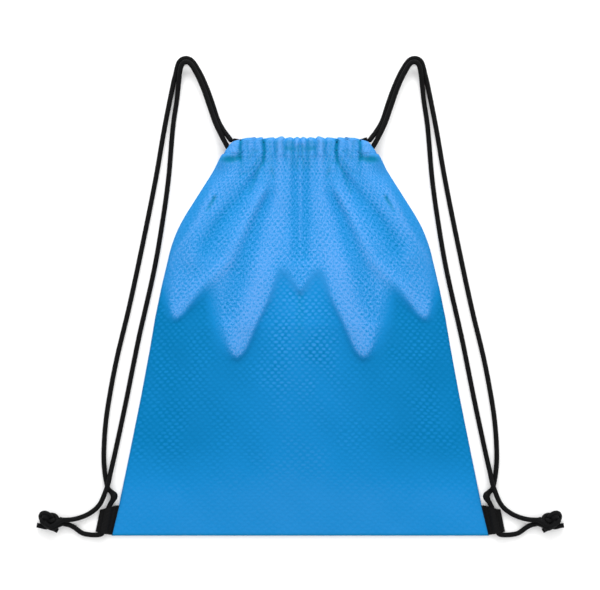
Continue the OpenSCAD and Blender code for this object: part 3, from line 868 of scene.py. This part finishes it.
TAB_CORD = [
    (188, -160.5, 7), (189.6, -164.6, 6.4), (192.2, -169, 5.2), (194.3, -174, TUNNEL_Z),
    (196.4, -184.5, TUNNEL_Z), (198.9, -197, TUNNEL_Z)]
TAIL_UPPER = [
    (197.6, -158.2, 8.2), (199.8, -163.5, 7.4), (203, -169.3, 5.8), (208.5, -175, 4),
    (217.5, -180.5, 3.2), (229, -184, 5.2), (239, -184.5, 8), (243.2, -183.6, 9)]
TAIL_LOWER = [
    (199.5, -196.2, TUNNEL_Z), (200.4, -198.4, 4.7), (202.8, -199.6, 4.3), (206.8, -200, 3.6),
    (213, -199.8), (219.5, -198.6), (224, -196), (228.8, -192.4, 2.7), (233.5, -190, 3.2),
    (238.5, -188.8, 3.9), (243.2, -187.6, 4.8)]
# The outer strand crosses under the inner one and bulges before it enters the tab
CROSSING = [(194, -153.8), (190.6, -157, 4)]

# Where the strap's two strands cross above the tab
# Where the outer strand doubles back on itself above the tab, and how much it bulges there
BULB_AT = (188.0, -160.2, 6.8)
BULB_LENGTH = 4.0
BULB_RISE = 0.50

# Inside the hems: where the cords turn back from the far corner, their play and the cloth's wall
CHANNEL_CORNER = 27.0
CHANNEL_PLAY = 0.3
CHANNEL_WALL = 1.0


def smooth_route(points, steps):
    """Catmull-Rom curve through the points."""
    points = np.asarray(points, float)
    full = np.vstack([2 * points[0] - points[1], points, 2 * points[-1] - points[-2]])
    made = []
    for a, b, c, d in zip(full[:-3], full[1:-2], full[2:-1], full[3:]):
        for t in np.arange(steps) / steps:
            made.append(0.5 * (2 * b + (c - a) * t + (2 * a - 5 * b + 4 * c - d) * t * t
                               + (3 * b - a - 3 * c + d) * t ** 3))
    return np.array(made + [points[-1]])


def distances(route):
    """How far along a route each of its points is."""
    return np.concatenate([[0], np.cumsum(np.linalg.norm(np.diff(route, axis=0), axis=1))])


def evenly(route, step):
    """The same route with points an even step apart."""
    lengths = distances(route)
    count = max(2, int(round(lengths[-1] / step)))
    wanted = np.linspace(0, lengths[-1], count + 1)
    return np.stack([np.interp(wanted, lengths, route[:, k]) for k in range(3)], axis=-1)


def mirrored(points, side):
    """The right side's millimetres as metres, or the left side's for side -1."""
    return np.asarray(points, float) * [side, 1, 1] * MM


def channel_route(front_lane, back_lane, front_exit, back_exit, diameter):
    """Route inside the hems, for a cord that leaves at the right corner."""
    inset = CHANNEL_WALL + CHANNEL_PLAY + diameter / 2
    lanes = {"low": hem_y + inset, "high": top_y - inset}
    turn_x = mouth_half - CHANNEL_CORNER
    front = np.array([turn_x + 2, lanes[front_lane], (hem_low.z + hem_high.z) / 2])
    back = np.array([turn_x + 2, lanes[back_lane], (back_hem_low.z + back_hem_high.z) / 2])
    far_front, far_back = [np.array([-turn_x, *place[1:]]) for place in (front, back)]
    middle = (far_front + far_back) / 2
    reach = np.linalg.norm(far_front - far_back) / 2
    turn = [middle + (far_front - middle) * math.cos(a) - np.array([reach, 0, 0]) * math.sin(a)
            for a in np.linspace(0, math.pi, 7)]
    inward = np.array([-12, 0, 0])
    start, finish = [np.array(Vector(way).normalized() * 3.4) for way in ((-7, -2, 4), (-7, 1, -4))]
    return ([front_exit + start, front + [7, 0, -0.6], front, front + inward,
             (front + far_front) / 2, far_front - inward] + turn
            + [far_back - inward, (back + far_back) / 2, back + inward, back,
               back + [7, 0, 0.6], back_exit + finish])


def tube(name, route, diameter, sides=16, round_start=False, round_end=False, bulb=None):
    """A round cord along a route, with its UV round it and along it in turns of the braid."""
    radius = diameter / 2
    tangents = np.gradient(route, axis=0)
    tangents /= np.linalg.norm(tangents, axis=1)[:, None]
    across = np.cross(tangents[0], [0, 0, 1.0])
    rings = []
    for place, tangent in zip(route, tangents):
        across = across - tangent * across.dot(tangent)
        across /= np.linalg.norm(across)
        swell = 1.0
        if bulb is not None:
            swell += BULB_RISE * bell(np.linalg.norm(place - bulb) / (BULB_LENGTH * MM))
        rings.append((place, tangent, across, radius * swell))
    for wanted, end, way in ((round_start, 0, -1), (round_end, -1, 1)):
        place, tangent, across, _ = rings[end]
        cap = [(place + way * tangent * radius * math.sin(a), tangent, across, radius * math.cos(a))
               for a in np.radians(CAP_ANGLES)] if wanted else []
        rings = rings + cap if way > 0 else cap[::-1] + rings
    points = []
    for place, tangent, across, size in rings:
        over = np.cross(across, tangent)
        points += [place + size * (math.cos(a) * across + math.sin(a) * over)
                   for a in np.arange(sides) * 2 * math.pi / sides]
    count = len(rings)
    index = np.arange(count * sides).reshape(count, sides)
    faces = grid_corners(np.hstack([index, index[:, :1]])).tolist()
    piece = new_mesh_object(name, points, faces + [index[0, ::-1].tolist(), index[-1].tolist()])
    pitch = bpy.context.scene.bag_cord.braid_pitch
    around, along = np.meshgrid(np.arange(sides + 1) / sides,
                                distances(np.array([ring[0] for ring in rings])) / pitch)
    uv = np.append(grid_corners(np.stack([around, along], axis=-1)), [0.5, 0.0] * (2 * sides))
    piece.data.uv_layers.new(name="UVMap").data.foreach_set("uv", uv)
    return piece


# The knot's middle, the size and depth of its lobes, its tilt, how far apart its two strands lie,
# how tightly they are drawn and the step along them
KNOT_AT = np.array([254.6, -184.8, 8.0])
KNOT_LOOP = 2.5
KNOT_DEPTH = 3.3
KNOT_TILT = math.radians(20)
KNOT_APART = 1.9
KNOT_DRAWN = 0.98
KNOT_STEP = 0.9
# Where each strand enters the knot and where its trimmed end comes out, from its middle
KNOT_ENDS = {
    "upper": ([(-14.5, 0.4, 1.0), (-9.5, -2.2, 3.6), (-3.0, -6.0, 4.8)],
              [(2.0, -7.2, -3.6), (7.5, -6.0, -3.2), (11.8, -5.2, -2.8)]),
    "lower": ([(-14.5, -3.4, -2.8), (-10.0, -5.0, 0.6), (-4.0, -8.0, 3.2)],
              [(-2.5, -7.5, -3.8), (-6.0, -9.2, -3.6), (-9.4, -11.0, -3.4)]),
}


def knot_route(strand, apart):
    """One strand of the overhand knot: three lobes, with the lowest one open for its ends."""
    turns = np.radians(np.arange(215, 506, 14.5))
    loop = np.stack([
        KNOT_LOOP * (np.sin(turns) + 2 * np.sin(2 * turns)),
        0.84 * KNOT_LOOP * (np.cos(turns) - 2 * np.cos(2 * turns)),
        -KNOT_DEPTH * np.sin(3 * turns)], axis=-1)
    along = np.gradient(loop, axis=0)
    across = np.stack([-along[:, 1], along[:, 0], 0 * turns], axis=-1)
    across /= np.linalg.norm(across, axis=1)[:, None]
    loop = loop + apart * across + [0, 0, 0.3 * apart]
    turned = loop @ np.array(Matrix.Rotation(KNOT_TILT, 3, "Z")).T
    start, finish = KNOT_ENDS[strand]
    return np.vstack([start, turned, finish]) + KNOT_AT


# ---------------- webbing tab, in millimetres

TAB_MID_Y = -185.0
# How far out of the seam the cord runs through the tab
TUNNEL_OUT = 9.0
# How much the fold is cut back at its lower and its upper end
TAB_CUT_LOW = 4.2
TAB_CUT_HIGH = 6.4
# Height of the tab's lower layer, and the gap between its two layers and over the cord
TAB_LOW_Z = 1.6
TAB_LAYER_GAP = 0.1
TAB_CORD_GAP = 0.25
RIB = 1.5
RIB_RISE = 0.12


def beside_seam(out, run):
    """Place out of the side seam and along it, from the tab's middle."""
    return (float(half_width(TAB_MID_Y)) + out * math.cos(SEAM_ANGLE) - run * math.sin(SEAM_ANGLE),
            TAB_MID_Y + out * math.sin(SEAM_ANGLE) + run * math.cos(SEAM_ANGLE))


def tab_profile(tab):
    """Middle of the webbing from inside the seam, round the fold and over the cord: (out, z)."""
    reach = tab.reach / MM
    layer = tab.thickness / MM
    low, high = TAB_LOW_Z, TAB_LOW_Z + layer + TAB_LAYER_GAP
    hump = CORD_RADIUS + TAB_CORD_GAP + layer / 2
    over = [(TUNNEL_OUT + hump * math.cos(a), TUNNEL_Z + hump * math.sin(a))
            for a in np.radians(range(-18, 199, 24))]
    return ([(-6, low), (0, low), (TUNNEL_OUT, low - 0.1), (reach - 2.2, low), (reach - 0.8, low + 0.1),
             (reach - 0.45, (low + high) / 2), (reach - 0.9, high), (reach - 2.4, high + 0.1)]
            + over + [(TUNNEL_OUT - hump - 1.6, high + 0.35), (2.2, high + 0.05), (-6, high)])


def corner_tab(name, tab, side):
    """Webbing folded round the cord, with its ribs, cut back at both ends of the fold."""
    profile = smooth_route([(out, z, 0) for out, z in tab_profile(tab)], 4)
    half = tab.width / MM / 2
    columns = np.linspace(-1, 1, int(2 * half / RIB) * 4 + 1)
    rows = []
    for out, z, _ in profile:
        cut = np.clip((out - 3.0) / (tab.reach / MM + 3.0), 0, 1)
        leaning = out * math.sin(SEAM_ANGLE)
        low = -half + TAB_CUT_LOW * cut
        run = low + (half - TAB_CUT_HIGH * cut - low) * (columns + 1) / 2
        x, y = beside_seam(out, run - leaning)
        rows.append(np.stack([x, y, z + RIB_RISE * np.abs(np.sin(math.pi * run / RIB))], axis=-1))
    grid = mirrored(rows, side)
    piece = new_mesh_object(name, grid.reshape(-1, 3), grid_faces(*grid.shape[:2], flipped=side < 0))
    across, along = np.meshgrid((columns + 1) * half, distances(profile))
    set_uv(piece, np.stack([across.ravel(), along.ravel()], axis=-1) * MM)
    add_wall(piece, tab.thickness, 0.0)
    return piece


# ---------------- stitches

# Length and thread of one stitch of the hem and of the bar tacks
HEM_STITCH = (3.2 * MM, 0.5 * MM)
TACK_STITCH = (2.2 * MM, 0.42 * MM)
# The bar tack: its stitches, their step, place and turn to either side
TACK_COUNT = 41
TACK_STEP = 0.62
TACK_OUT = 1.3
TACK_Z = 3.35
TACK_TURN = 0.22


def stitch_thread(length, thread):
    """One stitch along X: a short thread with rounded ends."""
    bpy.ops.object.select_all(action="DESELECT")
    bpy.ops.mesh.primitive_cylinder_add(
        vertices=8, radius=thread / 2, depth=length - thread, rotation=(0, math.pi / 2, 0))
    piece = bpy.context.object
    bpy.ops.object.transform_apply(location=True, rotation=True, scale=True)
    bpy.ops.object.mode_set(mode="EDIT")
    for way in (-1, 1):
        bpy.ops.mesh.select_all(action="DESELECT")
        bpy.ops.object.mode_set(mode="OBJECT")
        for face in piece.data.polygons:
            face.select = face.normal.x * way > 0.9
        bpy.ops.object.mode_set(mode="EDIT")
        bpy.ops.mesh.inset(thickness=thread * 0.2)
        bpy.ops.transform.translate(value=(way * thread * 0.3, 0, 0))
    bpy.ops.object.mode_set(mode="OBJECT")
    bpy.ops.object.shade_smooth()
    return piece


def sewn(name, pattern, places):
    """Copies a stitch to each place (x, y, z, turn) and joins the copies."""
    copies = []
    for x, y, z, turn in places:
        copy = pattern.copy()
        copy.data = pattern.data.copy()
        copy.matrix_world = Matrix.Translation((x, y, z)) @ Matrix.Rotation(turn, 4, "Z")
        bpy.context.scene.collection.objects.link(copy)
        copies.append(copy)
    bpy.data.objects.remove(pattern)
    select_only(*copies)
    bpy.ops.object.join()
    bpy.ops.object.transform_apply(location=True, rotation=True, scale=True)
    copies[0].name = name
    return copies[0]


# ---------------- operators

FLOOR_SIZE = 12.0
FRAMED_MIDDLE = (-0.0003, 0.0427)

materials = {}


def build_materials(context):
    """Makes the node groups and every material once."""
    scene = context.scene
    materials["fabric"] = fabric_material(scene.bag_cloth)
    materials["cord"] = cord_material(scene.bag_cord)
    materials["webbing"] = webbing_material(scene.bag_tab)
    materials["seam_thread"] = thread_material("blue sewing thread", (0.05, 0.245, 0.60, 1))
    materials["tack_thread"] = thread_material("black sewing thread", (0.007, 0.007, 0.0075, 1))


def dress(piece, slot, *nodes):
    """Gives a piece the material stored under the slot, and hides the CAD parts that it stands for."""
    give_material(piece, materials[slot])
    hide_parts(*nodes)


class BAG_OT_cloth(bpy.types.Operator):
    """Make the front and back cloths with their hems"""

    bl_idname = "bag.cloth"
    bl_label = "Cloth"

    def execute(self, context):
        cloth = context.scene.bag_cloth
        measures = {"front": front_cloth(cloth), "back": back_cloth()}
        for label in measures:
            piece = cloth_object(label + "_cloth", measures[label], cloth.thickness, label == "front")
            dress(piece, "fabric", label + "_panel", label + "_hem")
            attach(piece, "bag")
        for side, label in ((-1, "left_side_seam"), (1, "right_side_seam"), (0, "bottom_seam")):
            piece = seam_roll(label + "_roll", side)
            dress(piece, "fabric", label)
            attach(piece, "bag")
        for label in measures:
            places = stitch_places(measures[label])
            row = sewn(label + "_hem_stitches", stitch_thread(*HEM_STITCH), places)
            dress(row, "seam_thread", label + "_hem_stitching")
            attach(row, "bag")
        return {"FINISHED"}


def make_knot(label, side, diameter):
    """Both ends of a cord tied together in one overhand knot."""
    strands = []
    for strand, apart in (("upper", KNOT_APART), ("lower", -KNOT_APART)):
        route = evenly(smooth_route(mirrored(knot_route(strand, apart), side), 6), KNOT_STEP * MM)
        strands.append(tube(label + "_" + strand, route, diameter * KNOT_DRAWN, round_start=True))
    select_only(*strands)
    bpy.ops.object.join()
    knot = strands[0]
    knot.name = label + "_overhand_knot"
    dress(knot, "cord", label + "_knot")
    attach(knot, label + "_tail")
    return knot


class BAG_OT_cords(bpy.types.Operator):
    """Make the straps, tails and channel cords at their real length"""

    bl_idname = "bag.cords"
    bl_label = "Cords"

    def execute(self, context):
        diameter = context.scene.bag_cord.diameter
        corner = {"high": STRAP_OUTER[0], "low": STRAP_INNER[0]}
        for side, label, front, back in ((-1, "left", "high", "low"), (1, "right", "low", "high")):
            channel = channel_route(front, back, corner[front], corner[back], diameter / MM)
            knot = make_knot(label, side, diameter)
            bulb = mirrored(BULB_AT, side)
            made = [
                ("_strap_cord_outer", STRAP_OUTER + CROSSING + TAB_CORD, (True, False, bulb),
                 ("_strap_outer", "_tab_cord"), "object", ()),
                ("_strap_cord_inner", STRAP_INNER + TAIL_UPPER[:1], (True, True),
                 ("_strap_inner",), "object", ()),
                ("_tail_cord_upper", TAIL_UPPER, (True,), ("_tail_upper",), "knot", (knot,)),
                ("_tail_cord_lower", TAIL_LOWER, (True,), ("_tail_lower",), "knot", (knot,)),
                ("_channel_cord_braid", channel, (), ("_channel_cord",), "object", ())]
            for name, points, ends, nodes, far_end, on_it in made:
                points = [(*point, CORD_Z)[:3] for point in points]
                route = evenly(smooth_route(mirrored(points, side), 8), ROUTE_STEP * MM)
                piece = tube(label + name, route, diameter, 16, *ends)
                dress(piece, "cord", *[label + node for node in nodes])
                if name.startswith("_strap"):
                    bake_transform(piece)
                else:
                    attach(piece, label + "_tail" if name.startswith("_tail") else "bag")
        return {"FINISHED"}


class BAG_OT_tabs(bpy.types.Operator):
    """Make the webbing tabs and their bar tacks"""

    bl_idname = "bag.tabs"
    bl_label = "Corner tabs"

    def execute(self, context):
        tab = context.scene.bag_tab
        for side, label in ((-1, "left"), (1, "right")):
            piece = corner_tab(label + "_webbing_tab", tab, side)
            dress(piece, "webbing", label + "_corner_tab")
            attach(piece, "bag")
            places = []
            for n in range(TACK_COUNT):
                x, y = beside_seam(TACK_OUT, (n - (TACK_COUNT - 1) / 2) * TACK_STEP)
                turn = SEAM_ANGLE + (TACK_TURN if n % 2 else -TACK_TURN)
                places.append((side * x * MM, y * MM, TACK_Z * MM, side * turn))
            tack = sewn(label + "_zigzag_tack", stitch_thread(*TACK_STITCH), places)
            dress(tack, "tack_thread", label + "_bar_tack")
            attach(tack, "bag")
        return {"FINISHED"}


class BAG_OT_stage(bpy.types.Operator):
    """Make the floor, the lights and the camera"""

    bl_idname = "bag.stage"
    bl_label = "Stage"

    def execute(self, context):
        stage = context.scene.bag_stage
        scene = context.scene
        bpy.ops.object.select_all(action="DESELECT")
        bpy.ops.mesh.primitive_plane_add(size=1.0, location=(0, 0, 0))
        floor = context.object
        floor.name = "floor"
        bpy.ops.object.mode_set(mode="EDIT")
        bpy.ops.mesh.select_all(action="SELECT")
        bpy.ops.transform.resize(value=(FLOOR_SIZE, FLOOR_SIZE, 1))
        bpy.ops.object.mode_set(mode="OBJECT")
        material, tree, shader = new_material("pale floor", 0.9, 0.1)
        grain = coordinates(tree, "Object").noise(3.0)
        feed(grain.mix((0.93, 0.93, 0.93, 1), (0.95, 0.95, 0.95, 1)), shader["Base Color"])
        give_material(floor, material)

        scene.world = bpy.data.worlds.new("studio")
        scene.world.use_nodes = True
        background = scene.world.node_tree.nodes["Background"].inputs
        background["Color"].default_value = (1.0, 1.0, 1.0, 1.0)
        background["Strength"].default_value = stage.fill

        light = bpy.data.lights.new("key", "AREA")
        light.shape = "RECTANGLE"
        light.size, light.size_y = 2.4, 0.7
        light.energy = stage.key_power
        key = bpy.data.objects.new("key", light)
        key.location = (0.0, 2.0, 1.35)
        key.rotation_euler = (Vector((0, 0.05, 0)) - key.location).to_track_quat("-Z", "Y").to_euler()

        lens = bpy.data.cameras.new("camera")
        lens.sensor_width = 36.0
        lens.lens = lens.sensor_width * stage.camera_height / stage.framed_width
        camera = bpy.data.objects.new("camera", lens)
        camera.location = (*FRAMED_MIDDLE, stage.camera_height)
        for made in (key, camera):
            scene.collection.objects.link(made)
        scene.camera = camera
        scene.view_settings.view_transform = "Standard"
        return {"FINISHED"}


class BAG_PT_panel(bpy.types.Panel):
    """Lists the backpack's settings and its makers"""

    bl_idname = "BAG_PT_panel"
    bl_label = "Drawstring backpack"
    bl_space_type = "VIEW_3D"
    bl_region_type = "UI"
    bl_category = "Backpack"

    def draw(self, context):
        layout = self.layout
        for group in ("bag_cloth", "bag_cord", "bag_tab", "bag_stage"):
            settings = getattr(context.scene, group)
            box = layout.box()
            for name in settings.bl_rna.properties.keys():
                if name not in ("rna_type", "name"):
                    box.prop(settings, name)
        for operator in OPERATORS:
            layout.operator(operator.bl_idname)


SETTINGS = {
    "bag_cloth": ClothSettings,
    "bag_cord": CordSettings,
    "bag_tab": TabSettings,
    "bag_stage": StageSettings,
}
OPERATORS = (BAG_OT_cords, BAG_OT_cloth, BAG_OT_tabs, BAG_OT_stage)


def register():
    for name, settings in SETTINGS.items():
        bpy.utils.register_class(settings)
        setattr(bpy.types.Scene, name, bpy.props.PointerProperty(type=settings))
    for operator in OPERATORS:
        bpy.utils.register_class(operator)
    bpy.utils.register_class(BAG_PT_panel)


def unregister():
    bpy.utils.unregister_class(BAG_PT_panel)
    for operator in reversed(OPERATORS):
        bpy.utils.unregister_class(operator)
    for name, settings in reversed(list(SETTINGS.items())):
        delattr(bpy.types.Scene, name)
        bpy.utils.unregister_class(settings)


def main():
    register()
    build_materials(bpy.context)
    for operator in OPERATORS:
        group, name = operator.bl_idname.split(".")
        getattr(getattr(bpy.ops, group), name)()


if __name__ == "__main__":
    main()
